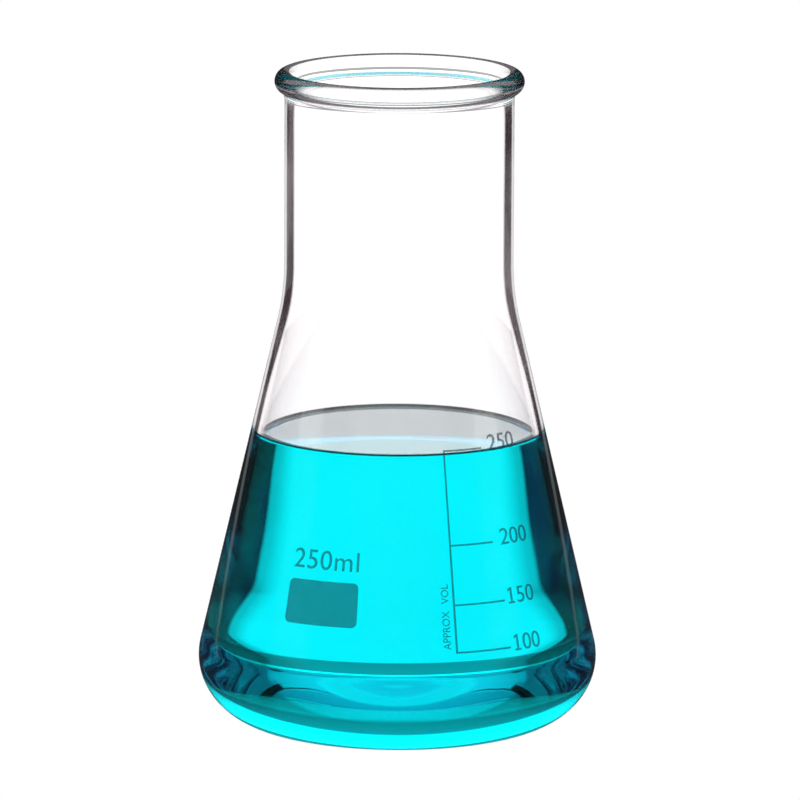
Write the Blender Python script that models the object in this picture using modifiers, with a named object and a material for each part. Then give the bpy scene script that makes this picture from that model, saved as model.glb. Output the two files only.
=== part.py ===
"""Wide-neck Erlenmeyer flask of blown glass, printed with an enamel scale and part filled.

Metres, +Z up. The origin is on the flask's axis, in the plane that the flask stands on. The
printed face looks along -Y, and +X is to its right.
"""

from math import acos, atan2, cos, hypot, pi, radians, sin, sqrt

import bmesh
import bpy
from mathutils import Matrix, Vector

# ---------------------------------------------------------------- driving dimensions

# Glass, outside
FLASK_HEIGHT = 0.141
BODY_DIAMETER = 0.085
HEEL_WIDTH = 0.0163  # how far in from the widest point the rounded heel reaches
HEEL_HEIGHT = 0.0148  # height of the widest point
SHOULDER_RADIUS = 0.0544
NECK_DIAMETER = 0.0487
NECK_LENGTH = 0.0412  # from the end of the shoulder to the top of the rim
STANDING_RING_WIDTH = 0.0035
PUNT_DEPTH = 0.0008

# Glass, inside
BODY_WALL = 0.0016
NECK_WALL = 0.0022
FLOOR_HEIGHT = 0.0034
INNER_HEEL_WIDTH = 0.0135
INNER_HEEL_HEIGHT = 0.0115

# Reinforced rim: a bead, with a slight collar where it runs into the neck
BEAD_PROJECTION = 0.00215
BEAD_HEIGHT = 0.0046
COLLAR_PROJECTION = 0.0003
COLLAR_HEIGHT = 0.0016

# Liquid
LIQUID_LEVEL = 0.0633
MENISCUS_HEIGHT = 0.0011
MENISCUS_WIDTH = 0.0035

# Enamel print
ENAMEL_THICKNESS = 0.00015
SCALE_AZIMUTH = radians(17.9)  # azimuths are measured from -Y, to the right as it is read
SPINE_WIDTH = 0.00045
TICK_WIDTH = 0.00038
GRADUATIONS = (  # volume in ml, height of its line, length of its line
    (100, 0.0234, 0.0127),
    (150, 0.0331, 0.0120),
    (200, 0.0453, 0.0100),
    (250, 0.0647, 0.0088),
)
NUMERAL_HEIGHT = 0.0034
NUMERAL_STRETCH = 1.05  # width of the glyphs against the font's own
NUMERAL_GAP = 0.0011  # from the end of the longest line to the numerals
NUMERAL_DROP = 0.0008  # baseline below the middle of the line
NOTE_TEXT = "APPROX VOL"
NOTE_HEIGHT = 0.00165
NOTE_STRETCH = 0.88
NOTE_WORD_SPACE = 2.6
NOTE_GAP = 0.0012  # from the middle of the scale's spine to the note's baseline
NOTE_START = 0.0241
CAPACITY_TEXT = "250ml"
CAPACITY_HEIGHT = 0.0040
CAPACITY_STRETCH = 1.02
CAPACITY_LETTER_SPACE = 1.06
CAPACITY_AZIMUTH = radians(-36.0)
CAPACITY_BASELINE = 0.0400
SPOT_AZIMUTH = radians(-24.6)
SPOT_BOTTOM = 0.0285
SPOT_WIDTH = 0.0167
SPOT_HEIGHT = 0.0094
SPOT_CORNER = 0.0012

# Fit
CLEARANCE = 0.0003  # between the glass and what lies on or in it

# Fineness of the meshes
TURNS = 64
HEEL_STEPS = 8
SHOULDER_STEPS = 4
BEAD_STEPS = 12
PUNT_STEPS = 3
MENISCUS_STEPS = 3
CORNER_STEPS = 3
GLYPH_STEPS = 2
STRIP_WIDTH = 0.0022  # widest flat strip that a wide print is bent from
AXIS_MERGE = 0.00001  # turned profiles: points this close to the axis or each other join
WELD = 0.000001  # prints: caps to sides
LEAN_ROUNDS = 30

# The built-in font, in shares of its size
CAPITAL_SHARE = 0.682  # height of a capital or a digit
ONE_OUTLINE = (  # a digit 1 with a flag and a foot, about the middle of its stem
    (-0.15, 0.0),
    (0.15, 0.0),
    (0.15, 0.075),
    (0.045, 0.075),
    (0.045, 0.682),
    (-0.03, 0.682),
    (-0.16, 0.605),
    (-0.16, 0.52),
    (-0.045, 0.58),
    (-0.045, 0.075),
    (-0.15, 0.075),
)

# ---------------------------------------------------------------- worked out from them

BODY_RADIUS = BODY_DIAMETER / 2
NECK_RADIUS = NECK_DIAMETER / 2
BORE_RADIUS = NECK_RADIUS - NECK_WALL
SHOULDER_TOP = FLASK_HEIGHT - NECK_LENGTH


class WallFace:
    """One face of the flask's wall, as a curve (radius, height) from its floor to its neck.

    The heel is a quarter ellipse, the shoulder an arc about a centre outside the flask, and
    the cone is the straight line that touches both.
    """

    def __init__(self, floor, widest, heel_width, heel_height, neck_radius):
        self.heel_width = heel_width
        self.heel_height = heel_height
        self.heel_centre = Vector((widest - heel_width, floor + heel_height))
        self.neck_radius = neck_radius
        self.shoulder_centre = Vector((NECK_RADIUS + SHOULDER_RADIUS, SHOULDER_TOP))
        self.shoulder_radius = self.shoulder_centre.x - neck_radius
        self.lean = self.cone_lean()
        outward = Vector((cos(self.lean), sin(self.lean)))
        reach = self.heel_reach(self.lean)
        self.cone_foot = self.heel_centre + Vector(
            (heel_width**2 * outward.x / reach, heel_height**2 * outward.y / reach)
        )
        self.cone_head = self.shoulder_centre - self.shoulder_radius * outward

    def heel_reach(self, lean):
        """Distance from the heel's centre to the tangent that leans this much."""
        return hypot(self.heel_width * cos(lean), self.heel_height * sin(lean))

    def cone_lean(self):
        """Angle between the cone's side and the vertical."""
        across = self.shoulder_centre - self.heel_centre
        lean = 0.0
        for _ in range(LEAN_ROUNDS):
            reach = self.heel_reach(lean) + self.shoulder_radius
            lean = atan2(across.y, across.x) - acos(reach / across.length)
        return lean

    def radius(self, height):
        if height < self.cone_foot.y:
            share = min(1.0, abs(height - self.heel_centre.y) / self.heel_height)
            return self.heel_centre.x + self.heel_width * sqrt(1 - share**2)
        if height < self.cone_head.y:
            share = (height - self.cone_foot.y) / (self.cone_head.y - self.cone_foot.y)
            return self.cone_foot.x + share * (self.cone_head.x - self.cone_foot.x)
        if height < SHOULDER_TOP:
            below = SHOULDER_TOP - height
            return self.shoulder_centre.x - sqrt(self.shoulder_radius**2 - below**2)
        return self.neck_radius

    def heel_points(self):
        """From the edge of the flat floor up to the foot of the cone."""
        start = -pi / 2
        rise = self.cone_foot - self.heel_centre
        end = atan2(rise.y / self.heel_height, rise.x / self.heel_width)
        points = []
        for step in range(HEEL_STEPS + 1):
            angle = start + (end - start) * step / HEEL_STEPS
            offset = Vector((self.heel_width * cos(angle), self.heel_height * sin(angle)))
            points.append(self.heel_centre + offset)
        return points

    def shoulder_points(self):
        """From the head of the cone up to the foot of the neck."""
        points = []
        for step in range(SHOULDER_STEPS + 1):
            angle = pi + self.lean * (1 - step / SHOULDER_STEPS)
            offset = self.shoulder_radius * Vector((cos(angle), sin(angle)))
            points.append(self.shoulder_centre + offset)
        return points


OUTER = WallFace(0.0, BODY_RADIUS, HEEL_WIDTH, HEEL_HEIGHT, NECK_RADIUS)
INNER = WallFace(
    FLOOR_HEIGHT,
    BODY_RADIUS - BODY_WALL,
    INNER_HEEL_WIDTH,
    INNER_HEEL_HEIGHT,
    BORE_RADIUS,
)
LIQUID = WallFace(
    FLOOR_HEIGHT + CLEARANCE,
    BODY_RADIUS - BODY_WALL - CLEARANCE,
    INNER_HEEL_WIDTH - CLEARANCE,
    INNER_HEEL_HEIGHT - CLEARANCE,
    BORE_RADIUS - CLEARANCE,
)


# ---------------------------------------------------------------- scene and materials


def clear_scene():
    for obj in list(bpy.data.objects):
        bpy.data.objects.remove(obj, do_unlink=True)


def principled(name, colour, roughness, transmission=0.0, ior=1.5):
    material = bpy.data.materials.new(name)
    material.use_nodes = True
    shader = material.node_tree.nodes["Principled BSDF"]
    shader.inputs["Base Color"].default_value = (*colour, 1.0)
    shader.inputs["Metallic"].default_value = 0.0
    shader.inputs["Roughness"].default_value = roughness
    shader.inputs["Transmission Weight"].default_value = transmission
    shader.inputs["IOR"].default_value = ior
    return material


def glass_material():
    return principled("borosilicate_glass", (0.95, 0.97, 0.97), 0.02, 1.0, 1.473)


def liquid_material():
    return principled("cyan_liquid", (0.02, 0.80, 0.86), 0.02, 1.0, 1.333)


def enamel_material():
    return principled("grey_enamel", (0.35, 0.38, 0.39), 0.45)


def add_object(name, mesh, material, collection, parent):
    obj = bpy.data.objects.new(name, mesh)
    mesh.materials.append(material)
    collection.objects.link(obj)
    obj.parent = parent
    return obj


# ---------------------------------------------------------------- turned pieces


def turned_object(name, profile, material, collection, parent):
    """A closed body turned about Z from a profile that runs from the axis back to it."""
    mesh = bpy.data.meshes.new(name)
    verts = [(point.x, 0.0, point.y) for point in profile]
    edges = [(i, i + 1) for i in range(len(verts) - 1)]
    mesh.from_pydata(verts, edges, [])
    obj = add_object(name, mesh, material, collection, parent)
    screw = obj.modifiers.new("turn", "SCREW")
    screw.axis = "Z"
    screw.angle = 2 * pi
    screw.steps = TURNS
    screw.render_steps = TURNS
    screw.use_merge_vertices = True
    screw.merge_threshold = AXIS_MERGE
    screw.use_smooth_shade = True
    return obj


def rim_points():
    """The bead from the bore over the top to its underside, then the collar to the neck."""
    across = (NECK_WALL + BEAD_PROJECTION) / 2
    centre = Vector((BORE_RADIUS + across, FLASK_HEIGHT - BEAD_HEIGHT / 2))
    collar_radius = NECK_RADIUS + COLLAR_PROJECTION
    under = -acos((collar_radius - centre.x) / across)
    points = []
    for step in range(BEAD_STEPS + 1):
        angle = pi + (under - pi) * step / BEAD_STEPS
        points.append(centre + Vector((across * cos(angle), BEAD_HEIGHT / 2 * sin(angle))))
    points.append(Vector((NECK_RADIUS, points[-1].y - COLLAR_HEIGHT)))
    return points


def underside_points():
    """The standing ring and the shallow punt inside it, ending on the axis."""
    ring_radius = BODY_RADIUS - HEEL_WIDTH - STANDING_RING_WIDTH
    points = []
    for step in range(PUNT_STEPS + 1):
        share = 1 - step / PUNT_STEPS
        points.append(Vector((ring_radius * share, PUNT_DEPTH * (1 - share**2))))
    return points


def make_glass(collection, parent):
    profile = [Vector((0.0, FLOOR_HEIGHT))]
    profile += INNER.heel_points()
    profile += INNER.shoulder_points()
    profile += rim_points()
    profile += reversed(OUTER.shoulder_points())
    profile += reversed(OUTER.heel_points())
    profile += underside_points()
    turned_object("flask_glass", profile, glass_material(), collection, parent)


def meniscus_points():
    """The level surface from the axis out, climbing to a thin edge at the wall."""
    edge = LIQUID_LEVEL + MENISCUS_HEIGHT
    points = [Vector((0.0, LIQUID_LEVEL))]
    for step in range(MENISCUS_STEPS + 1):
        share = step / MENISCUS_STEPS
        radius = LIQUID.radius(edge) - MENISCUS_WIDTH * (1 - share)
        points.append(Vector((radius, LIQUID_LEVEL + MENISCUS_HEIGHT * share**3)))
    return points


def make_liquid(collection, parent):
    profile = meniscus_points()
    profile += reversed(LIQUID.heel_points())
    profile.append(Vector((0.0, FLOOR_HEIGHT + CLEARANCE)))
    turned_object("liquid", profile, liquid_material(), collection, parent)


# ---------------------------------------------------------------- enamel print


def outline_curve(name, points):
    """A flat print as thick as the enamel, from its outline in order."""
    curve = bpy.data.curves.new(name, "CURVE")
    curve.dimensions = "2D"
    curve.fill_mode = "BOTH"
    curve.extrude = ENAMEL_THICKNESS / 2
    spline = curve.splines.new("POLY")
    spline.points.add(len(points) - 1)
    for place, (x, y) in zip(spline.points, points):
        place.co = (x, y, 0.0, 1.0)
    spline.use_cyclic_u = True
    return curve


def text_curve(body, capital_height):
    curve = bpy.data.curves.new(body, "FONT")
    curve.body = body
    curve.size = capital_height / CAPITAL_SHARE
    curve.extrude = ENAMEL_THICKNESS / 2
    curve.resolution_u = GLYPH_STEPS
    return curve


def digit_one(size, middle):
    """The digit 1 with its flag and foot. The built-in font's own is a bare bar."""
    outline = [(middle + size * x, size * y) for x, y in ONE_OUTLINE]
    return welded(outline_curve("digit_one", outline))


def welded(curve):
    """The curve's solid as a bmesh, with its caps joined to its sides."""
    carrier = bpy.data.objects.new("carrier", curve)
    bpy.context.scene.collection.objects.link(carrier)
    graph = bpy.context.evaluated_depsgraph_get()
    mesh = bpy.data.meshes.new_from_object(carrier.evaluated_get(graph))
    bm = bmesh.new()
    bm.from_mesh(mesh)
    bmesh.ops.remove_doubles(bm, verts=bm.verts, dist=WELD)
    bpy.data.meshes.remove(mesh)
    bpy.data.objects.remove(carrier, do_unlink=True)
    bpy.data.curves.remove(curve)
    return bm


def cut_into_strips(bm, axis):
    """Cuts a flat print across one axis, so that it can bend."""
    lowest, highest = span(bm.verts, axis)
    strips = int((highest - lowest) / STRIP_WIDTH) + 1
    normal = Vector((0.0, 0.0, 0.0))
    normal[axis] = 1.0
    for strip in range(1, strips):
        bmesh.ops.bisect_plane(
            bm,
            geom=bm.verts[:] + bm.edges[:] + bm.faces[:],
            dist=WELD,
            plane_co=normal * (lowest + (highest - lowest) * strip / strips),
            plane_no=normal,
        )


def slant(rise):
    """Distance along the cone's side for this rise in height."""
    return rise / cos(OUTER.lean)


def wrap(bm, azimuth, height):
    """Bends a flat print onto the glass: x runs round the flask, y up its side, z outwards."""
    reference = OUTER.radius(height)
    for vert in bm.verts:
        angle = azimuth + vert.co.x / reference
        level = height + vert.co.y * cos(OUTER.lean)
        out = OUTER.radius(level) + CLEARANCE + ENAMEL_THICKNESS / 2 + vert.co.z
        vert.co = (out * sin(angle), -out * cos(angle), level)


def span(verts, axis):
    """Lowest and highest coordinate along one axis."""
    places = [vert.co[axis] for vert in verts]
    return min(places), max(places)


def islands(bm):
    """The separate bodies of a bmesh, each as a set of vertices."""
    found = []
    seen = set()
    for start in bm.verts:
        if start in seen:
            continue
        body = {start}
        waiting = [start]
        while waiting:
            vert = waiting.pop()
            for edge in vert.link_edges:
                other = edge.other_vert(vert)
                if other not in body:
                    body.add(other)
                    waiting.append(other)
        seen |= body
        found.append(body)
    return found


def print_object(name, bm, material, collection, parent):
    """Makes an object from a wrapped print, with its origin at the middle of its own box."""
    middle = Vector([sum(span(bm.verts, axis)) / 2 for axis in range(3)])
    bm.transform(Matrix.Translation(-middle))
    mesh = bpy.data.meshes.new(name)
    bm.to_mesh(mesh)
    bm.free()
    obj = add_object(name, mesh, material, collection, parent)
    obj.location = middle
    return obj


def glyph_bodies(curve):
    """One flat bmesh for each glyph of a line of text, in reading order."""
    characters = curve.body.replace(" ", "")
    size = curve.size
    line = welded(curve)
    line.verts.index_update()
    bodies = sorted(islands(line), key=lambda body: min(vert.co.x for vert in body))
    kept = [({vert.index for vert in body}, span(body, 0)) for body in bodies]
    glyphs = []
    for character, (indices, (left, right)) in zip(characters, kept):
        if character == "1":
            glyphs.append(digit_one(size, (left + right) / 2))
            continue
        glyph = line.copy()
        others = [vert for vert in glyph.verts if vert.index not in indices]
        bmesh.ops.delete(glyph, geom=others, context="VERTS")
        glyphs.append(glyph)
    line.free()
    return glyphs


def print_text(names, curve, stretch, turn, azimuth, height, placed_in):
    """Prints a line of text with its left edge at the azimuth, each glyph its own object."""
    glyphs = glyph_bodies(curve)
    left = min(span(glyph.verts, 0)[0] for glyph in glyphs)
    shape = Matrix.Rotation(turn, 4, "Z") @ Matrix.Diagonal((stretch, 1.0, 1.0, 1.0))
    shape = shape @ Matrix.Translation((-left, 0.0, 0.0))
    for name, glyph in zip(names, glyphs):
        glyph.transform(shape)
        wrap(glyph, azimuth, height)
        print_object(name, glyph, *placed_in)


def tick_azimuth(height, length):
    """Azimuth of the far end of a graduation line."""
    return SCALE_AZIMUTH + length / OUTER.radius(height)


def make_scale(placed_in):
    """The spine and its four lines, as one comb-shaped print."""
    base = GRADUATIONS[0][1]
    reference = OUTER.radius(base)
    edge = SPINE_WIDTH / 2
    outline = []
    for _, height, length in GRADUATIONS:
        reach = (tick_azimuth(height, length) - SCALE_AZIMUTH) * reference
        middle = slant(height - base)
        outline += [
            (edge, middle - TICK_WIDTH / 2),
            (reach, middle - TICK_WIDTH / 2),
            (reach, middle + TICK_WIDTH / 2),
            (edge, middle + TICK_WIDTH / 2),
        ]
    top = outline.pop()[1]
    outline[0] = (-edge, outline[0][1])
    outline.append((-edge, top))
    bm = welded(outline_curve("graduation_scale", outline))
    cut_into_strips(bm, 0)
    cut_into_strips(bm, 1)
    wrap(bm, SCALE_AZIMUTH, base)
    print_object("graduation_scale", bm, *placed_in)


def digit_names(stem):
    return [f"{stem}_{place}" for place in ("hundreds", "tens", "units")]


def make_numerals(placed_in):
    """Three digits beside each line, all starting on one meridian."""
    longest = max(tick_azimuth(height, length) for _, height, length in GRADUATIONS)
    azimuth = longest + NUMERAL_GAP / OUTER.radius(GRADUATIONS[0][1])
    for volume, height, _ in GRADUATIONS:
        names = digit_names(f"numeral_{volume}")
        curve = text_curve(str(volume), NUMERAL_HEIGHT)
        baseline = height - NUMERAL_DROP
        print_text(names, curve, NUMERAL_STRETCH, 0.0, azimuth, baseline, placed_in)


def make_note(placed_in):
    """The note that reads upwards, with its baseline towards the scale's spine."""
    letters = NOTE_TEXT.replace(" ", "")
    names = [f"note_{place}_{letter}" for place, letter in enumerate(letters, 1)]
    curve = text_curve(NOTE_TEXT, NOTE_HEIGHT)
    curve.space_word = NOTE_WORD_SPACE
    azimuth = SCALE_AZIMUTH - NOTE_GAP / OUTER.radius(NOTE_START)
    print_text(names, curve, NOTE_STRETCH, pi / 2, azimuth, NOTE_START, placed_in)


def make_capacity(placed_in):
    """The flask's nominal capacity, in digits and letters above the marking spot."""
    names = digit_names("capacity") + ["capacity_m", "capacity_l"]
    curve = text_curve(CAPACITY_TEXT, CAPACITY_HEIGHT)
    curve.space_character = CAPACITY_LETTER_SPACE
    print_text(
        names,
        curve,
        CAPACITY_STRETCH,
        0.0,
        CAPACITY_AZIMUTH,
        CAPACITY_BASELINE,
        placed_in,
    )


def make_marking_spot(placed_in):
    """The rounded patch that takes a pencil note."""
    outline = []
    corners = (
        (SPOT_WIDTH / 2 - SPOT_CORNER, SPOT_CORNER, -pi / 2),
        (SPOT_WIDTH / 2 - SPOT_CORNER, SPOT_HEIGHT - SPOT_CORNER, 0.0),
        (-SPOT_WIDTH / 2 + SPOT_CORNER, SPOT_HEIGHT - SPOT_CORNER, pi / 2),
        (-SPOT_WIDTH / 2 + SPOT_CORNER, SPOT_CORNER, pi),
    )
    for x, y, start in corners:
        for step in range(CORNER_STEPS + 1):
            angle = start + pi / 2 * step / CORNER_STEPS
            outline.append((x + SPOT_CORNER * cos(angle), y + SPOT_CORNER * sin(angle)))
    bm = welded(outline_curve("marking_spot", outline))
    cut_into_strips(bm, 0)
    wrap(bm, SPOT_AZIMUTH, SPOT_BOTTOM)
    print_object("marking_spot", bm, *placed_in)


# ---------------------------------------------------------------- the flask


def main():
    clear_scene()
    collection = bpy.data.collections.new("erlenmeyer_flask")
    bpy.context.scene.collection.children.link(collection)
    stand = bpy.data.objects.new("flask_origin", None)
    collection.objects.link(stand)
    make_glass(collection, stand)
    make_liquid(collection, stand)
    placed_in = (enamel_material(), collection, stand)
    make_scale(placed_in)
    make_numerals(placed_in)
    make_note(placed_in)
    make_capacity(placed_in)
    make_marking_spot(placed_in)


main()
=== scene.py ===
"""Looks of the Erlenmeyer flask: drawn glass, cyan liquid with a meniscus, fired enamel print.

Lengths are in metres with +Z up. Azimuths are measured from -Y, to the right as the print is
read.
"""

from math import acos, atan2, cos, hypot, pi, radians, sin, sqrt

import bmesh
import bpy
from mathutils import Matrix, Vector

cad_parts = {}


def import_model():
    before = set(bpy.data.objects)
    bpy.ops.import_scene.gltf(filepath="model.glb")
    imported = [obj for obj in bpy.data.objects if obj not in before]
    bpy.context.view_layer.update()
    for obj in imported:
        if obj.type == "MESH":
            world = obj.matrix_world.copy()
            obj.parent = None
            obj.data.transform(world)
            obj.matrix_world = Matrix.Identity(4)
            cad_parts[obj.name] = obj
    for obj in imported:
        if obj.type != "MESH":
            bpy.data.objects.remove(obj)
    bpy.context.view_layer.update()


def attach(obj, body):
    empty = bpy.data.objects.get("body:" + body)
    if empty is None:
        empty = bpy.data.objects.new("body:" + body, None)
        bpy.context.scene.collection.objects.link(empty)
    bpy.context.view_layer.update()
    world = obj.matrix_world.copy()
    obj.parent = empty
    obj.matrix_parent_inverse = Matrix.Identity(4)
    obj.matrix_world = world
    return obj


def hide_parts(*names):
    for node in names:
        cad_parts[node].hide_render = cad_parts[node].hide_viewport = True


# ---------------------------------------------------------------- sizes of the part

FLASK_HEIGHT = 0.141
BODY_DIAMETER = 0.085
HEEL_WIDTH = 0.0163
HEEL_HEIGHT = 0.0148
SHOULDER_RADIUS = 0.0544
NECK_DIAMETER = 0.0487
NECK_LENGTH = 0.0412
STANDING_RING_WIDTH = 0.0035
PUNT_DEPTH = 0.0008
BODY_WALL = 0.0016
NECK_WALL = 0.0022
FLOOR_HEIGHT = 0.0034
INNER_HEEL_WIDTH = 0.0135
INNER_HEEL_HEIGHT = 0.0115
BEAD_PROJECTION = 0.00215
BEAD_HEIGHT = 0.0046
COLLAR_PROJECTION = 0.0003
COLLAR_HEIGHT = 0.0016
LIQUID_LEVEL = 0.0633
MENISCUS_WIDTH = 0.0035

ENAMEL_THICKNESS = 0.00015
SCALE_AZIMUTH = radians(17.9)
SPINE_WIDTH = 0.00045
TICK_WIDTH = 0.00038
GRADUATIONS = (
    (100, 0.0234, 0.0127),
    (150, 0.0331, 0.0120),
    (200, 0.0453, 0.0100),
    (250, 0.0647, 0.0088),
)
NUMERAL_HEIGHT = 0.0034
NUMERAL_STRETCH = 1.05
NUMERAL_GAP = 0.0011
NUMERAL_DROP = 0.0008
NOTE_TEXT = "APPROX VOL"
NOTE_HEIGHT = 0.00165
NOTE_STRETCH = 0.88
NOTE_WORD_SPACE = 2.6
NOTE_GAP = 0.0012
NOTE_START = 0.0241
CAPACITY_TEXT = "250ml"
CAPACITY_HEIGHT = 0.0040
CAPACITY_STRETCH = 1.02
CAPACITY_LETTER_SPACE = 1.06
CAPACITY_AZIMUTH = radians(-36.0)
CAPACITY_BASELINE = 0.0400
SPOT_AZIMUTH = radians(-24.6)
SPOT_BOTTOM = 0.0285
SPOT_WIDTH = 0.0167
SPOT_HEIGHT = 0.0094
SPOT_CORNER = 0.0012

CAPITAL_SHARE = 0.682
ONE_OUTLINE = (
    (-0.15, 0.0),
    (0.15, 0.0),
    (0.15, 0.075),
    (0.045, 0.075),
    (0.045, 0.682),
    (-0.03, 0.682),
    (-0.16, 0.605),
    (-0.16, 0.52),
    (-0.045, 0.58),
    (-0.045, 0.075),
    (-0.15, 0.075),
)

# ---------------------------------------------------------------- sizes of the looks only

MENISCUS_HEIGHT = 0.0005  # lower than the part's, to meet the glass just under the 250 mark
LIQUID_OVERLAP = 0.00002  # the liquid reaches this far into the glass, so no air shows between
ENAMEL_SEAT = 0.00001  # gap under the enamel, smaller than the clearance that the part needs
TURNS = 224
HEEL_STEPS = 26
CONE_STEPS = 24
SHOULDER_STEPS = 18
NECK_STEPS = 14
BEAD_STEPS = 36
COLLAR_STEPS = 4
PUNT_STEPS = 8
MENISCUS_STEPS = 14
CORNER_STEPS = 8
GLYPH_STEPS = 10
STRIP_WIDTH = 0.0007
WELD = 0.000001
LEAN_ROUNDS = 30
X_AXIS = 0
Y_AXIS = 1

BODY_RADIUS = BODY_DIAMETER / 2
NECK_RADIUS = NECK_DIAMETER / 2
BORE_RADIUS = NECK_RADIUS - NECK_WALL
SHOULDER_TOP = FLASK_HEIGHT - NECK_LENGTH
CONTACT_HEIGHT = LIQUID_LEVEL + MENISCUS_HEIGHT  # where the liquid's edge meets the glass


class WallFace:
    """One face of the flask's wall, as a curve (radius, height) from its floor to its neck."""

    def __init__(self, floor, widest, heel_width, heel_height, neck_radius):
        self.heel_width = heel_width
        self.heel_height = heel_height
        self.heel_centre = Vector((widest - heel_width, floor + heel_height))
        self.neck_radius = neck_radius
        self.shoulder_centre = Vector((NECK_RADIUS + SHOULDER_RADIUS, SHOULDER_TOP))
        self.shoulder_radius = self.shoulder_centre.x - neck_radius
        self.lean = self.cone_lean()
        outward = Vector((cos(self.lean), sin(self.lean)))
        reach = self.heel_reach(self.lean)
        self.cone_foot = self.heel_centre + Vector(
            (heel_width**2 * outward.x / reach, heel_height**2 * outward.y / reach)
        )
        self.cone_head = self.shoulder_centre - self.shoulder_radius * outward

    def heel_reach(self, lean):
        return hypot(self.heel_width * cos(lean), self.heel_height * sin(lean))

    def cone_lean(self):
        """The slant of the line that touches both the heel and the shoulder, found by repeating."""
        across = self.shoulder_centre - self.heel_centre
        lean = 0.0
        for _ in range(LEAN_ROUNDS):
            reach = self.heel_reach(lean) + self.shoulder_radius
            lean = atan2(across.y, across.x) - acos(reach / across.length)
        return lean

    def radius(self, height):
        if height < self.cone_foot.y:
            share = min(1.0, abs(height - self.heel_centre.y) / self.heel_height)
            return self.heel_centre.x + self.heel_width * sqrt(1 - share**2)
        if height < self.cone_head.y:
            share = (height - self.cone_foot.y) / (self.cone_head.y - self.cone_foot.y)
            return self.cone_foot.x + share * (self.cone_head.x - self.cone_foot.x)
        if height < SHOULDER_TOP:
            below = SHOULDER_TOP - height
            return self.shoulder_centre.x - sqrt(self.shoulder_radius**2 - below**2)
        return self.neck_radius

    def heel_points(self):
        rise = self.cone_foot - self.heel_centre
        start = -pi / 2
        end = atan2(rise.y / self.heel_height, rise.x / self.heel_width)
        points = []
        for step in range(HEEL_STEPS + 1):
            angle = start + (end - start) * step / HEEL_STEPS
            offset = Vector((self.heel_width * cos(angle), self.heel_height * sin(angle)))
            points.append(self.heel_centre + offset)
        return points

    def cone_points(self, low, high):
        """Between two heights on the cone, both ends left out."""
        foot = Vector((self.radius(low), low))
        head = Vector((self.radius(high), high))
        return [foot.lerp(head, step / CONE_STEPS) for step in range(1, CONE_STEPS)]

    def shoulder_points(self):
        points = []
        for step in range(SHOULDER_STEPS + 1):
            angle = pi + self.lean * (1 - step / SHOULDER_STEPS)
            offset = self.shoulder_radius * Vector((cos(angle), sin(angle)))
            points.append(self.shoulder_centre + offset)
        return points

    def neck_points(self, top):
        """Between the foot of the neck and a height on it, both ends left out."""
        rise = top - SHOULDER_TOP
        return [
            Vector((self.neck_radius, SHOULDER_TOP + rise * step / NECK_STEPS))
            for step in range(1, NECK_STEPS)
        ]


OUTER = WallFace(0.0, BODY_RADIUS, HEEL_WIDTH, HEEL_HEIGHT, NECK_RADIUS)
INNER = WallFace(
    FLOOR_HEIGHT,
    BODY_RADIUS - BODY_WALL,
    INNER_HEEL_WIDTH,
    INNER_HEEL_HEIGHT,
    BORE_RADIUS,
)
LIQUID = WallFace(
    FLOOR_HEIGHT - LIQUID_OVERLAP,
    BODY_RADIUS - BODY_WALL + LIQUID_OVERLAP,
    INNER_HEEL_WIDTH + LIQUID_OVERLAP,
    INNER_HEEL_HEIGHT + LIQUID_OVERLAP,
    BORE_RADIUS + LIQUID_OVERLAP,
)


# ---------------------------------------------------------------- turned meshes


def turned_mesh(name, profile, materials=(), material_of=None, sharp_at=None):
    """A closed smooth body turned about Z from a profile that runs from the axis back to it."""
    bm = bmesh.new()
    rings = []
    for point in profile:
        if point.x < WELD:
            rings.append([bm.verts.new((0.0, 0.0, point.y))])
            continue
        rings.append(
            [
                bm.verts.new(
                    (
                        point.x * sin(2 * pi * turn / TURNS),
                        -point.x * cos(2 * pi * turn / TURNS),
                        point.y,
                    )
                )
                for turn in range(TURNS)
            ]
        )
    for place in range(len(rings) - 1):
        near, far = rings[place], rings[place + 1]
        slot = material_of(place) if material_of else 0
        for turn in range(TURNS):
            after = (turn + 1) % TURNS
            corners = [near[turn % len(near)], near[after % len(near)]]
            corners += [far[after % len(far)], far[turn % len(far)]]
            face = bm.faces.new(list(dict.fromkeys(corners)))
            face.smooth = True
            face.material_index = slot
    if sharp_at is not None:
        edge_ring = set(rings[sharp_at])
        for edge in bm.edges:
            if set(edge.verts) <= edge_ring:
                edge.smooth = False
    bmesh.ops.recalc_face_normals(bm, faces=bm.faces[:])
    mesh = bpy.data.meshes.new(name)
    bm.to_mesh(mesh)
    bm.free()
    for material in materials:
        mesh.materials.append(material)
    return mesh


def rim_points():
    across = (NECK_WALL + BEAD_PROJECTION) / 2
    centre = Vector((BORE_RADIUS + across, FLASK_HEIGHT - BEAD_HEIGHT / 2))
    collar_radius = NECK_RADIUS + COLLAR_PROJECTION
    under = -acos((collar_radius - centre.x) / across)
    points = []
    for step in range(BEAD_STEPS + 1):
        angle = pi + (under - pi) * step / BEAD_STEPS
        points.append(centre + Vector((across * cos(angle), BEAD_HEIGHT / 2 * sin(angle))))
    foot = points[-1].y - COLLAR_HEIGHT
    for step in range(1, COLLAR_STEPS + 1):
        share = step / COLLAR_STEPS
        fade = (1 + cos(pi * share)) / 2
        points.append(
            Vector((NECK_RADIUS + COLLAR_PROJECTION * fade, foot + COLLAR_HEIGHT * (1 - share)))
        )
    return points


def underside_points():
    ring_radius = BODY_RADIUS - HEEL_WIDTH - STANDING_RING_WIDTH
    points = []
    for step in range(PUNT_STEPS + 1):
        share = 1 - step / PUNT_STEPS
        points.append(Vector((ring_radius * share, PUNT_DEPTH * (1 - share**2))))
    return points


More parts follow.
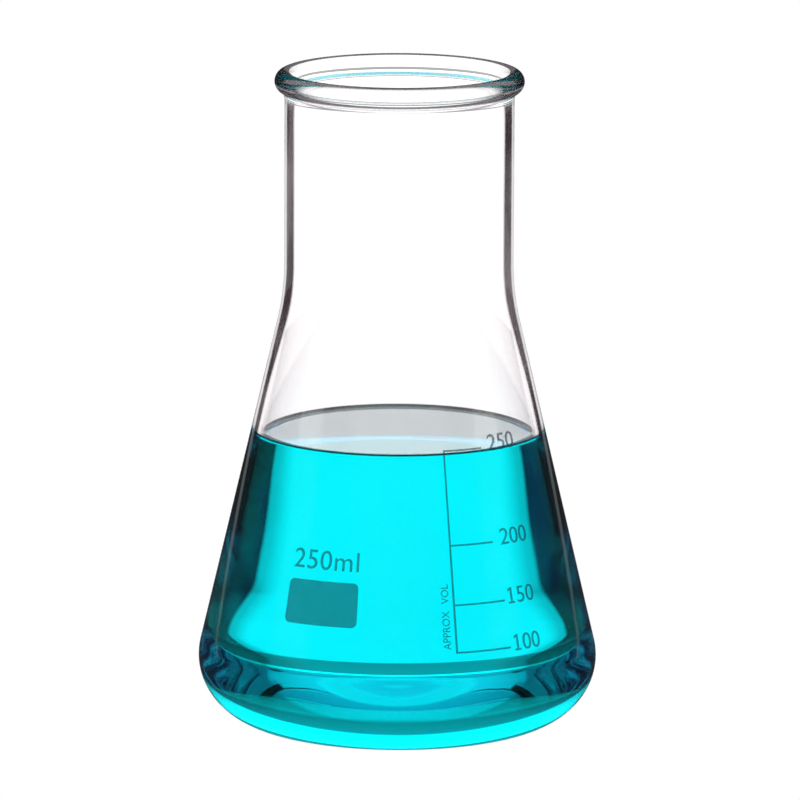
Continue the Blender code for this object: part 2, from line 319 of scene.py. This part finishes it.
def meniscus_points():
    points = [Vector((0.0, LIQUID_LEVEL))]
    for step in range(MENISCUS_STEPS + 1):
        share = step / MENISCUS_STEPS
        radius = LIQUID.radius(CONTACT_HEIGHT) - MENISCUS_WIDTH * (1 - share)
        points.append(Vector((radius, LIQUID_LEVEL + MENISCUS_HEIGHT * share**3)))
    return points


def add_piece(name, mesh, slot, *nodes):
    piece = bpy.data.objects.new(name, mesh)
    bpy.context.scene.collection.objects.link(piece)
    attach(piece, "root")
    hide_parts(*nodes)
    return piece


def make_glass():
    wet = [Vector((0.0, FLOOR_HEIGHT))]
    wet += INNER.heel_points()
    wet += INNER.cone_points(INNER.cone_foot.y, CONTACT_HEIGHT)
    wet.append(Vector((INNER.radius(CONTACT_HEIGHT), CONTACT_HEIGHT)))
    inside = wet + INNER.cone_points(CONTACT_HEIGHT, INNER.cone_head.y)
    inside += INNER.shoulder_points()
    inside += INNER.neck_points(FLASK_HEIGHT - BEAD_HEIGHT / 2)
    rim = rim_points()
    outside = list(reversed(OUTER.neck_points(rim[-1].y)))
    outside += reversed(OUTER.shoulder_points())
    outside += reversed(OUTER.cone_points(OUTER.cone_foot.y, OUTER.cone_head.y))
    outside += reversed(OUTER.heel_points())
    outside += underside_points()
    first_dry = len(wet) - 1
    first_outside = len(inside) + BEAD_STEPS // 4  # the bead's first quarter faces the bore

    def slot_at(place):
        if place < first_dry:
            return 2
        return 1 if place < first_outside else 0

    mesh = turned_mesh(
        "glass_wall",
        inside + rim + outside,
        (outer_glass_material(), inner_glass_material(), wet_glass_material()),
        slot_at,
    )
    add_piece("glass_wall", mesh, "glass", "flask_glass")


def make_liquid():
    profile = meniscus_points()
    profile += reversed(LIQUID.cone_points(LIQUID.cone_foot.y, CONTACT_HEIGHT))
    profile += reversed(LIQUID.heel_points())
    profile.append(Vector((0.0, FLOOR_HEIGHT - LIQUID_OVERLAP)))
    mesh = turned_mesh(
        "liquid_fill",
        profile,
        (
            liquid_material("liquid_surface", LIQUID_IOR),
            liquid_material("liquid_body", WETTED_IOR),
        ),
        lambda place: 0 if place <= MENISCUS_STEPS else 1,
        sharp_at=MENISCUS_STEPS + 1,
    )
    add_piece("liquid_fill", mesh, "liquid", "liquid")


# ---------------------------------------------------------------- enamel print


def outline_curve(name, points):
    curve = bpy.data.curves.new(name, "CURVE")
    curve.dimensions = "2D"
    curve.fill_mode = "BOTH"
    curve.extrude = ENAMEL_THICKNESS / 2
    spline = curve.splines.new("POLY")
    spline.points.add(len(points) - 1)
    for place, (x, y) in zip(spline.points, points):
        place.co = (x, y, 0.0, 1.0)
    spline.use_cyclic_u = True
    return curve


def text_curve(body, capital_height):
    curve = bpy.data.curves.new(body, "FONT")
    curve.body = body
    curve.size = capital_height / CAPITAL_SHARE
    curve.extrude = ENAMEL_THICKNESS / 2
    curve.resolution_u = GLYPH_STEPS
    return curve


def digit_one(size, middle):
    outline = [(middle + size * x, size * y) for x, y in ONE_OUTLINE]
    return welded(outline_curve("digit_one", outline))


def welded(curve):
    carrier = bpy.data.objects.new("carrier", curve)
    bpy.context.scene.collection.objects.link(carrier)
    graph = bpy.context.evaluated_depsgraph_get()
    mesh = bpy.data.meshes.new_from_object(carrier.evaluated_get(graph))
    bm = bmesh.new()
    bm.from_mesh(mesh)
    bmesh.ops.remove_doubles(bm, verts=bm.verts, dist=WELD)
    bpy.data.meshes.remove(mesh)
    bpy.data.objects.remove(carrier, do_unlink=True)
    bpy.data.curves.remove(curve)
    return bm


def span(verts, axis):
    places = [vert.co[axis] for vert in verts]
    return min(places), max(places)


def cut_into_strips(bm, axis):
    lowest, highest = span(bm.verts, axis)
    strips = int((highest - lowest) / STRIP_WIDTH) + 1
    normal = Vector((0.0, 0.0, 0.0))
    normal[axis] = 1.0
    for strip in range(1, strips):
        bmesh.ops.bisect_plane(
            bm,
            geom=bm.verts[:] + bm.edges[:] + bm.faces[:],
            dist=WELD,
            plane_co=normal * (lowest + (highest - lowest) * strip / strips),
            plane_no=normal,
        )


def slant(rise):
    return rise / cos(OUTER.lean)


def wrap(bm, azimuth, height):
    """Bends a flat print onto the glass: x runs round the flask, y up its side, z outwards."""
    reference = OUTER.radius(height)
    for vert in bm.verts:
        angle = azimuth + vert.co.x / reference
        level = height + vert.co.y * cos(OUTER.lean)
        out = OUTER.radius(level) + ENAMEL_SEAT + ENAMEL_THICKNESS / 2 + vert.co.z
        vert.co = (out * sin(angle), -out * cos(angle), level)


def islands(bm):
    """The sets of vertices that edges join to each other."""
    found = []
    seen = set()
    for start in bm.verts:
        if start in seen:
            continue
        body = {start}
        waiting = [start]
        while waiting:
            vert = waiting.pop()
            for edge in vert.link_edges:
                other = edge.other_vert(vert)
                if other not in body:
                    body.add(other)
                    waiting.append(other)
        seen |= body
        found.append(body)
    return found


def print_piece(node, bm, material):
    mesh = bpy.data.meshes.new(node + "_print")
    bm.to_mesh(mesh)
    bm.free()
    mesh.materials.append(material)
    add_piece(node + "_print", mesh, "enamel", node)


def glyph_bodies(curve):
    """One mesh for each character of a line of text, from left to right."""
    characters = curve.body.replace(" ", "")
    size = curve.size
    line = welded(curve)
    line.verts.index_update()
    bodies = sorted(islands(line), key=lambda body: min(vert.co.x for vert in body))
    kept = [({vert.index for vert in body}, span(body, X_AXIS)) for body in bodies]
    glyphs = []
    for character, (indices, (left, right)) in zip(characters, kept):
        if character == "1":
            glyphs.append(digit_one(size, (left + right) / 2))
            continue
        glyph = line.copy()
        others = [vert for vert in glyph.verts if vert.index not in indices]
        bmesh.ops.delete(glyph, geom=others, context="VERTS")
        glyphs.append(glyph)
    line.free()
    return glyphs


def print_text(names, curve, stretch, turn, azimuth, height, material):
    glyphs = glyph_bodies(curve)
    left = min(span(glyph.verts, X_AXIS)[0] for glyph in glyphs)
    shape = Matrix.Rotation(turn, 4, "Z") @ Matrix.Diagonal((stretch, 1.0, 1.0, 1.0))
    shape = shape @ Matrix.Translation((-left, 0.0, 0.0))
    for name, glyph in zip(names, glyphs):
        glyph.transform(shape)
        wrap(glyph, azimuth, height)
        print_piece(name, glyph, material)


def tick_azimuth(height, length):
    return SCALE_AZIMUTH + length / OUTER.radius(height)


def make_scale(material):
    base = GRADUATIONS[0][1]
    reference = OUTER.radius(base)
    edge = SPINE_WIDTH / 2
    outline = []
    for _, height, length in GRADUATIONS:
        reach = (tick_azimuth(height, length) - SCALE_AZIMUTH) * reference
        middle = slant(height - base)
        outline += [
            (edge, middle - TICK_WIDTH / 2),
            (reach, middle - TICK_WIDTH / 2),
            (reach, middle + TICK_WIDTH / 2),
            (edge, middle + TICK_WIDTH / 2),
        ]
    top = outline.pop()[1]
    outline[0] = (-edge, outline[0][1])
    outline.append((-edge, top))
    bm = welded(outline_curve("graduation_scale", outline))
    cut_into_strips(bm, X_AXIS)
    cut_into_strips(bm, Y_AXIS)
    wrap(bm, SCALE_AZIMUTH, base)
    print_piece("graduation_scale", bm, material)


def digit_names(stem):
    return [f"{stem}_{place}" for place in ("hundreds", "tens", "units")]


def make_numerals(material):
    longest = max(tick_azimuth(height, length) for _, height, length in GRADUATIONS)
    azimuth = longest + NUMERAL_GAP / OUTER.radius(GRADUATIONS[0][1])
    for volume, height, _ in GRADUATIONS:
        names = digit_names(f"numeral_{volume}")
        curve = text_curve(str(volume), NUMERAL_HEIGHT)
        baseline = height - NUMERAL_DROP
        print_text(names, curve, NUMERAL_STRETCH, 0.0, azimuth, baseline, material)


def make_note(material):
    letters = NOTE_TEXT.replace(" ", "")
    names = [f"note_{place}_{letter}" for place, letter in enumerate(letters, 1)]
    curve = text_curve(NOTE_TEXT, NOTE_HEIGHT)
    curve.space_word = NOTE_WORD_SPACE
    azimuth = SCALE_AZIMUTH - NOTE_GAP / OUTER.radius(NOTE_START)
    print_text(names, curve, NOTE_STRETCH, pi / 2, azimuth, NOTE_START, material)


def make_capacity(material):
    names = digit_names("capacity") + ["capacity_m", "capacity_l"]
    curve = text_curve(CAPACITY_TEXT, CAPACITY_HEIGHT)
    curve.space_character = CAPACITY_LETTER_SPACE
    print_text(
        names,
        curve,
        CAPACITY_STRETCH,
        0.0,
        CAPACITY_AZIMUTH,
        CAPACITY_BASELINE,
        material,
    )


def make_marking_spot(material):
    outline = []
    corners = (
        (SPOT_WIDTH / 2 - SPOT_CORNER, SPOT_CORNER, -pi / 2),
        (SPOT_WIDTH / 2 - SPOT_CORNER, SPOT_HEIGHT - SPOT_CORNER, 0.0),
        (-SPOT_WIDTH / 2 + SPOT_CORNER, SPOT_HEIGHT - SPOT_CORNER, pi / 2),
        (-SPOT_WIDTH / 2 + SPOT_CORNER, SPOT_CORNER, pi),
    )
    for x, y, start in corners:
        for step in range(CORNER_STEPS + 1):
            angle = start + pi / 2 * step / CORNER_STEPS
            outline.append((x + SPOT_CORNER * cos(angle), y + SPOT_CORNER * sin(angle)))
    bm = welded(outline_curve("marking_spot", outline))
    cut_into_strips(bm, X_AXIS)
    wrap(bm, SPOT_AZIMUTH, SPOT_BOTTOM)
    print_piece("marking_spot", bm, material)


# ---------------------------------------------------------------- materials


def rgb(red, green, blue):
    return (red, green, blue, 1.0)


GLASS_IOR = 1.473
LIQUID_IOR = 1.333
WETTED_IOR = 1.0  # the liquid's own sides bend nothing
LIQUID_DENSITY = 160.0
LIQUID_ABSORPTION = rgb(0.0, 0.981, 0.990)

CLEAR_GLASS = rgb(0.998, 0.992, 0.994)
STREAKED_GLASS = rgb(0.975, 0.955, 0.965)
# Painted pink cast towards the outline of the empty part
PAINTED_PINK_CAST = rgb(0.955, 0.885, 0.92)
WET_GLASS = rgb(1.0, 1.0, 1.0)
# Painted shade: a grey line on the glass just above the liquid's edge
PAINTED_CONTACT_SHADE = rgb(0.3, 0.32, 0.32)
# Painted shade: the dark line inside the outline of the empty glass, mottled between these two
PAINTED_DARK_LINE = rgb(0.003, 0.0015, 0.002)
PAINTED_PALE_LINE = rgb(0.022, 0.015, 0.018)
# Painted dark grey shade at the bead's edge
PAINTED_BEAD_LINE = rgb(0.035, 0.027, 0.030)
# Painted shade on the sides of the filled part, lighter teal at the heel
PAINTED_BLUE_SIDE = rgb(0.0, 0.0020, 0.007)
PAINTED_GREEN_SIDE = rgb(0.0, 0.005, 0.005)
PAINTED_HEEL_SIDE = rgb(0.0, 0.13, 0.115)
CLEAR_LIQUID = rgb(1.0, 1.0, 1.0)
SWIRLED_LIQUID = rgb(0.93, 0.965, 0.98)
# Painted shade on the top of the meniscus, where it meets the glass
MENISCUS_PAINTED_SHADE = rgb(0.003, 0.005, 0.006)
# The print is real enamel; its near-black teal is painted shade of its unlit front
SHADED_ENAMEL_DARK = rgb(0.001, 0.020, 0.034)
SHADED_ENAMEL_PALE = rgb(0.003, 0.034, 0.052)

# Heights between which the glass changes
FOOT = (0.006, 0.011)
HEEL_HUE = (0.0195, 0.0225)
HEEL_TOP = (0.0200, 0.0235)
LOW_CONE = (0.024, 0.036)
HIGH_CONE = (0.045, 0.064)
SHOULDER = (0.072, 0.095)
BEAD_FOOT = (0.1345, 0.1365)
BEAD_SIDE = (0.1362, 0.1368)
CONTACT_FADE = 0.0002
CONTACT_SHADE_HEIGHT = 0.0003
MENISCUS_DARK = (LIQUID_LEVEL + 0.00002, LIQUID_LEVEL + 0.0002)

# Facings: 0 where the glass is seen straight on, 1 at its outline
CONE_LINE_START = 0.66
NECK_LINE_START = 0.57
LINE_RISE = 0.05
LINE_FALL = (0.78, 0.84)
LINE_WAVE = 0.06
SIDE_START = 0.367
LOW_SIDE_START = 0.50
HIGH_SIDE_SHIFT = 0.04
HEEL_SIDE_SHIFT = -0.27
SIDE_SHADE = (-0.16, -0.02)
SIDE_EDGE = (-0.015, 0.025)
PINK_CAST_FACING = (0.15, 0.55)
BEAD_EDGE = (0.22, 0.46)

SHADE_LIGHT = 0.34
MOTTLED_DARK = 0.985


class Nodes:
    """A short way to write a material's nodes."""

    def __init__(self, tree):
        self.tree = tree

    def add(self, kind, **settings):
        node = self.tree.nodes.new("ShaderNode" + kind)
        for name, value in settings.items():
            setattr(node, name, value)
        return node

    def feed(self, socket, value):
        if hasattr(value, "links"):
            self.tree.links.new(value, socket)
        else:
            socket.default_value = value

    def place(self):
        return self.add("TexCoord").outputs["Object"]

    def height(self, place):
        axes = self.add("SeparateXYZ")
        self.feed(axes.inputs[0], place)
        return axes.outputs["Z"]

    def math(self, operation, *values):
        node = self.add("Math", operation=operation)
        for socket, value in zip(node.inputs, values):
            self.feed(socket, value)
        return node.outputs[0]

    def ramp(self, value, low, high, start=0.0, end=1.0):
        """Runs smoothly from start to end as the value goes from low to high."""
        node = self.add("MapRange", interpolation_type="SMOOTHSTEP")
        self.feed(node.inputs["Value"], value)
        self.feed(node.inputs["From Min"], low)
        self.feed(node.inputs["From Max"], high)
        self.feed(node.inputs["To Min"], start)
        self.feed(node.inputs["To Max"], end)
        return node.outputs["Result"]

    def pick(self, share, a, b):
        """A number between a and b."""
        node = self.add("Mix", data_type="FLOAT")
        self.feed(node.inputs[0], share)
        self.feed(node.inputs[2], a)
        self.feed(node.inputs[3], b)
        return node.outputs[0]

    def blend(self, share, a, b):
        """A colour between a and b."""
        node = self.add("Mix", data_type="RGBA")
        self.feed(node.inputs[0], share)
        self.feed(node.inputs[6], a)
        self.feed(node.inputs[7], b)
        return node.outputs[2]

    def noise(self, place, scale, detail=2.0, stretch=(1.0, 1.0, 1.0)):
        mapping = self.add("Mapping")
        mapping.inputs["Scale"].default_value = stretch
        self.feed(mapping.inputs["Vector"], place)
        node = self.add("TexNoise")
        node.inputs["Scale"].default_value = scale
        node.inputs["Detail"].default_value = detail
        self.feed(node.inputs["Vector"], mapping.outputs[0])
        return node.outputs["Fac"]


def new_material(name):
    material = bpy.data.materials.new(name)
    material.use_nodes = True
    shader = material.node_tree.nodes["Principled BSDF"]
    return material, Nodes(material.node_tree), shader


def let_light_through(shader, index):
    shader.inputs["Roughness"].default_value = 0.0
    shader.inputs["IOR"].default_value = index
    shader.inputs["Transmission Weight"].default_value = 1.0


def line_darkness(nodes, facing, height, streaks):
    """Painted shade: the dark line that runs just inside the outline of clear glass."""
    wave = nodes.math("MULTIPLY", nodes.math("SUBTRACT", streaks, 0.5), LINE_WAVE)
    start = nodes.ramp(height, *SHOULDER, CONE_LINE_START, NECK_LINE_START)
    beyond = nodes.math("SUBTRACT", nodes.math("ADD", facing, wave), start)
    rise = nodes.ramp(beyond, 0.0, LINE_RISE)
    return nodes.math("MULTIPLY", rise, nodes.ramp(facing, *LINE_FALL, 1.0, 0.0))


def side_darkness(nodes, facing, height, streaks):
    """Painted shade on the dark sides of the filled part: a soft shade, then a sharp edge out to the
    outline.
    """
    start = nodes.ramp(height, *LOW_CONE, LOW_SIDE_START, SIDE_START)
    start = nodes.math("ADD", start, nodes.ramp(height, *HIGH_CONE, 0.0, HIGH_SIDE_SHIFT))
    start = nodes.math("ADD", start, nodes.ramp(height, *HEEL_TOP, HEEL_SIDE_SHIFT, 0.0))
    beyond = nodes.math("SUBTRACT", facing, start)
    shade = nodes.ramp(beyond, *SIDE_SHADE, 1.0, SHADE_LIGHT)
    light_left = nodes.math("MULTIPLY", shade, nodes.ramp(beyond, *SIDE_EDGE, 1.0, 0.0))
    darkness = nodes.math("SUBTRACT", 1.0, light_left)
    mottle = nodes.ramp(streaks, low=0.4, high=0.7, start=1.0, end=MOTTLED_DARK)
    darkness = nodes.math("MULTIPLY", darkness, mottle)
    return nodes.math("MULTIPLY", darkness, nodes.ramp(height, *FOOT))


def dark_tint(nodes, place, height, filled):
    """The colours of the painted shade: nearly black beside air, deep teal beside liquid and a
    lighter teal at the heel.
    """
    hue = nodes.ramp(nodes.noise(place, scale=45.0), low=0.42, high=0.62)
    teal = nodes.blend(hue, PAINTED_BLUE_SIDE, PAINTED_GREEN_SIDE)
    teal = nodes.blend(nodes.ramp(height, *HEEL_HUE, 1.0, 0.0), teal, PAINTED_HEEL_SIDE)
    patches = nodes.noise(place, scale=90.0, detail=3.0, stretch=(1.0, 1.0, 0.5))
    line = nodes.blend(nodes.ramp(patches, low=0.40, high=0.62), PAINTED_DARK_LINE, PAINTED_PALE_LINE)
    return nodes.blend(filled, line, teal)


def clear_tint(nodes, facing, height, filled, entering):
    """Painted light in the clear glass: a faint pink cast towards the outline of the empty part, and
    painted grey shade at the bead's edge.
    """
    pink_cast = nodes.math("MULTIPLY", nodes.ramp(facing, *PINK_CAST_FACING), entering)
    clear = nodes.blend(pink_cast, CLEAR_GLASS, PAINTED_PINK_CAST)
    clear = nodes.blend(filled, clear, CLEAR_GLASS)
    bead = nodes.math("MULTIPLY", nodes.ramp(facing, *BEAD_EDGE), entering)
    bead = nodes.math("MULTIPLY", bead, nodes.ramp(height, *BEAD_SIDE))
    return nodes.blend(bead, clear, PAINTED_BEAD_LINE)


def outer_glass_material():
    """Clear glass whose grazing edges carry painted shade: the dark line of thick glass and the dark
    sides of the filled part, painted by facing into its colour.
    """
    material, nodes, shader = new_material("outer_glass")
    place = nodes.place()
    height = nodes.height(place)
    weight = nodes.add("LayerWeight")
    weight.inputs["Blend"].default_value = 0.5
    facing = weight.outputs["Facing"]
    entering = nodes.math("SUBTRACT", 1.0, nodes.add("NewGeometry").outputs["Backfacing"])
    streaks = nodes.noise(place, scale=120.0, detail=3.0, stretch=(1.0, 1.0, 0.12))
    low, high = CONTACT_HEIGHT - CONTACT_FADE, CONTACT_HEIGHT + CONTACT_FADE
    filled = nodes.ramp(height, low, high, 1.0, 0.0)
    line = line_darkness(nodes, facing, height, streaks)
    sides = side_darkness(nodes, facing, height, streaks)
    darkness = nodes.math("MULTIPLY", nodes.pick(filled, line, sides), entering)
    darkness = nodes.math("MULTIPLY", darkness, nodes.ramp(height, *BEAD_FOOT, 1.0, 0.0))
    clear = clear_tint(nodes, facing, height, filled, entering)
    dark = dark_tint(nodes, place, height, filled)
    # The painted shade and light at the grazing edges go into the glass's colour
    nodes.feed(shader.inputs["Base Color"], nodes.blend(darkness, clear, dark))
    let_light_through(shader, GLASS_IOR)
    return material


def inner_glass_material():
    """The inner face above the liquid: faint streaks, and a painted grey line of shade just above
    where the liquid ends.
    """
    material, nodes, shader = new_material("inner_glass")
    place = nodes.place()
    streaks = nodes.noise(place, scale=160.0, detail=3.0, stretch=(1.0, 1.0, 0.1))
    clear = nodes.blend(nodes.ramp(streaks, low=0.55, high=0.75), CLEAR_GLASS, STREAKED_GLASS)
    # Painted shade: a grey line on the glass just above where the liquid meets it
    shade_top = CONTACT_HEIGHT + CONTACT_SHADE_HEIGHT
    contact_shade = nodes.ramp(nodes.height(place), CONTACT_HEIGHT, shade_top, 1.0, 0.0)
    nodes.feed(shader.inputs["Base Color"], nodes.blend(contact_shade, clear, PAINTED_CONTACT_SHADE))
    let_light_through(shader, GLASS_IOR)
    return material


def wet_glass_material():
    """The inner face where liquid touches it: light bends by the ratio of the two."""
    material, _, shader = new_material("wet_glass")
    shader.inputs["Base Color"].default_value = WET_GLASS
    let_light_through(shader, GLASS_IOR / LIQUID_IOR)
    return material


def liquid_material(name, index):
    """Light bends at the free surface only: where liquid touches glass, the wet glass bends it."""
    material, nodes, shader = new_material(name)
    place = nodes.place()
    swirl = nodes.noise(place, scale=30.0, stretch=(1.0, 1.0, 0.4))
    clear = nodes.blend(nodes.ramp(swirl, low=0.35, high=0.7), CLEAR_LIQUID, SWIRLED_LIQUID)
    # Painted shade: a dark band on the top of the meniscus, where it meets the glass
    edge = nodes.ramp(nodes.height(place), *MENISCUS_DARK)
    nodes.feed(shader.inputs["Base Color"], nodes.blend(edge, clear, MENISCUS_PAINTED_SHADE))
    let_light_through(shader, index)
    volume = nodes.add("VolumeAbsorption")
    volume.inputs["Color"].default_value = LIQUID_ABSORPTION
    volume.inputs["Density"].default_value = LIQUID_DENSITY
    output = material.node_tree.nodes["Material Output"]
    material.node_tree.links.new(volume.outputs[0], output.inputs["Volume"])
    return material


def enamel_material():
    material, nodes, shader = new_material("grey_enamel")
    grain = nodes.noise(nodes.place(), scale=2500.0)
    # Painted shade of the print's unlit front, between two tones at random
    nodes.feed(shader.inputs["Base Color"], nodes.blend(grain, SHADED_ENAMEL_DARK, SHADED_ENAMEL_PALE))
    shader.inputs["Roughness"].default_value = 0.5
    shader.inputs["Specular IOR Level"].default_value = 0.1
    shader.inputs["Alpha"].default_value = 0.45
    return material


# ---------------------------------------------------------------- studio

FLOOR_RADIUS = 3.0
FLOOR_SIDES = 96
FLOOR_DROP = 0.0001
CONTACT_RADIUS = 0.068
CONTACT_RING = 0.012
MIRROR_START = (0.50, 0.58)  # the lit ring that mirrored rays find on the table
MIRROR_END = (0.74, 0.80)
TABLE_LIGHT = 1.2
DIM_LIGHT = 0.40
STRIP_LIGHT = 1.97
GAP_LIGHT = 0.45
SOFTBOX_LIGHT = 1.15
MIRRORED_TABLE = 0.28
MIRRORED_DARK = 0.03
MIRRORED_SOFTBOX = 0.25

# Painted shadow under the flask: the light table's light there, by how often a ray has turned
UNDER_SHALLOW = 0.38
SHALLOW_RAY = 7  # up to here, mostly from the front of the liquid's surface
UNDER_DARK = 0.06
DEEP_RAY = 14  # up to here, mostly from the back of the surface, and past it from the heel
UNDER_LIGHT = 0.85

# Light from around: the degrees above level where each change starts and ends, and the new light
SKY = (
    (-1.0, 0.0, DIM_LIGHT),
    (8.5, 9.3, STRIP_LIGHT),
    (12.2, 12.6, GAP_LIGHT),
    (14.6, 16.0, SOFTBOX_LIGHT),
)
MIRRORED_SKY = (20.0, 50.0)

CAMERA_ELEVATION = radians(10.7)
CAMERA_DISTANCE = 2.0
CAMERA_LENS = 422.5
CAMERA_NEAR = 0.01
CAMERA_AIM = Vector((0.00036, 0.0, 0.0700))
CAMERA_ROLL = radians(0.24)

BOUNCES = 200  # fewer turn the heel and the bead black
GLOSSY_BOUNCES = 64
TRANSPARENT_BOUNCES = 32


def stage_light(nodes, through, mirrored):
    """White to the camera, and otherwise what glass shows by bending or by mirroring light."""
    path = nodes.add("LightPath")
    gloss = nodes.math("SUBTRACT", path.outputs["Is Reflection Ray"], path.outputs["Is Diffuse Ray"])
    found = nodes.pick(gloss, through, mirrored)
    return nodes.pick(path.outputs["Is Camera Ray"], found, 1.0)


def light_material(name):
    material, nodes, _ = new_material(name)
    light = nodes.add("Emission")
    output = material.node_tree.nodes["Material Output"]
    material.node_tree.links.new(light.outputs[0], output.inputs["Surface"])
    return material, nodes, light


def make_floor():
    """A white light table with a painted shadow under the flask that depends on a ray's turns."""
    mesh = bpy.data.meshes.new("floor")
    bm = bmesh.new()
    bmesh.ops.create_circle(bm, cap_ends=True, radius=FLOOR_RADIUS, segments=FLOOR_SIDES)
    bm.to_mesh(mesh)
    bm.free()
    floor = bpy.data.objects.new("floor", mesh)
    bpy.context.scene.collection.objects.link(floor)
    floor.location.z = -FLOOR_DROP
    material, nodes, light = light_material("light_table")
    length = nodes.add("VectorMath", operation="LENGTH")
    nodes.feed(length.inputs[0], nodes.place())
    distance = length.outputs["Value"]
    turns = nodes.add("LightPath").outputs["Ray Depth"]
    under = nodes.math(
        "ADD",
        nodes.ramp(turns, SHALLOW_RAY, SHALLOW_RAY + 1, UNDER_SHALLOW, UNDER_DARK),
        nodes.ramp(turns, DEEP_RAY, DEEP_RAY + 1, 0.0, UNDER_LIGHT - UNDER_DARK),
    )
    beyond = CONTACT_RADIUS + CONTACT_RING
    # Painted shadow: within CONTACT_RADIUS under the flask the table's light falls to the painted
    # shadow
    through = nodes.ramp(distance, CONTACT_RADIUS, beyond, under, TABLE_LIGHT)
    mirrored = nodes.math(
        "ADD",
        nodes.ramp(distance, *MIRROR_START, MIRRORED_DARK, MIRRORED_TABLE),
        nodes.ramp(distance, *MIRROR_END, 0.0, MIRRORED_DARK - MIRRORED_TABLE),
    )
    nodes.feed(light.inputs["Strength"], stage_light(nodes, through, mirrored))
    mesh.materials.append(material)


def make_world():
    """Light by elevation: a lit strip over a dim horizon, a dim gap, then a wide softbox."""
    world = bpy.data.worlds.new("studio")
    bpy.context.scene.world = world
    world.use_nodes = True
    nodes = Nodes(world.node_tree)
    climb = nodes.height(nodes.add("TexCoord").outputs["Generated"])
    light = through = TABLE_LIGHT
    for low, high, above in SKY:
        step = nodes.ramp(climb, sin(radians(low)), sin(radians(high)), 0.0, above - light)
        through = nodes.math("ADD", through, step)
        light = above
    low, high = [sin(radians(angle)) for angle in MIRRORED_SKY]
    mirrored = nodes.ramp(climb, low, high, MIRRORED_DARK, MIRRORED_SOFTBOX)
    background = world.node_tree.nodes["Background"]
    background.inputs["Color"].default_value = rgb(1.0, 1.0, 1.0)
    nodes.feed(background.inputs["Strength"], stage_light(nodes, through, mirrored))


def make_camera():
    scene = bpy.context.scene
    camera = bpy.data.objects.new("camera", bpy.data.cameras.new("camera"))
    camera.data.lens = CAMERA_LENS
    camera.data.clip_start = CAMERA_NEAR
    back = Vector((0.0, -cos(CAMERA_ELEVATION), sin(CAMERA_ELEVATION)))
    place = Matrix.Translation(CAMERA_AIM + CAMERA_DISTANCE * back)
    turn = Matrix.Rotation(pi / 2 - CAMERA_ELEVATION, 4, "X")
    camera.matrix_world = place @ turn @ Matrix.Rotation(CAMERA_ROLL, 4, "Z")
    scene.collection.objects.link(camera)
    scene.camera = camera


def set_rendering():
    scene = bpy.context.scene
    scene.view_settings.view_transform = "Standard"
    scene.cycles.max_bounces = BOUNCES
    scene.cycles.transmission_bounces = BOUNCES
    scene.cycles.glossy_bounces = GLOSSY_BOUNCES
    scene.cycles.transparent_max_bounces = TRANSPARENT_BOUNCES


# ---------------------------------------------------------------- the flask


def corners(box):
    return [list(corner) for corner in box]


def main():
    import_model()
    make_glass()
    make_liquid()
    enamel = enamel_material()
    make_scale(enamel)
    make_numerals(enamel)
    make_note(enamel)
    make_capacity(enamel)
    make_marking_spot(enamel)
    make_floor()
    make_world()
    make_camera()
    set_rendering()


main()
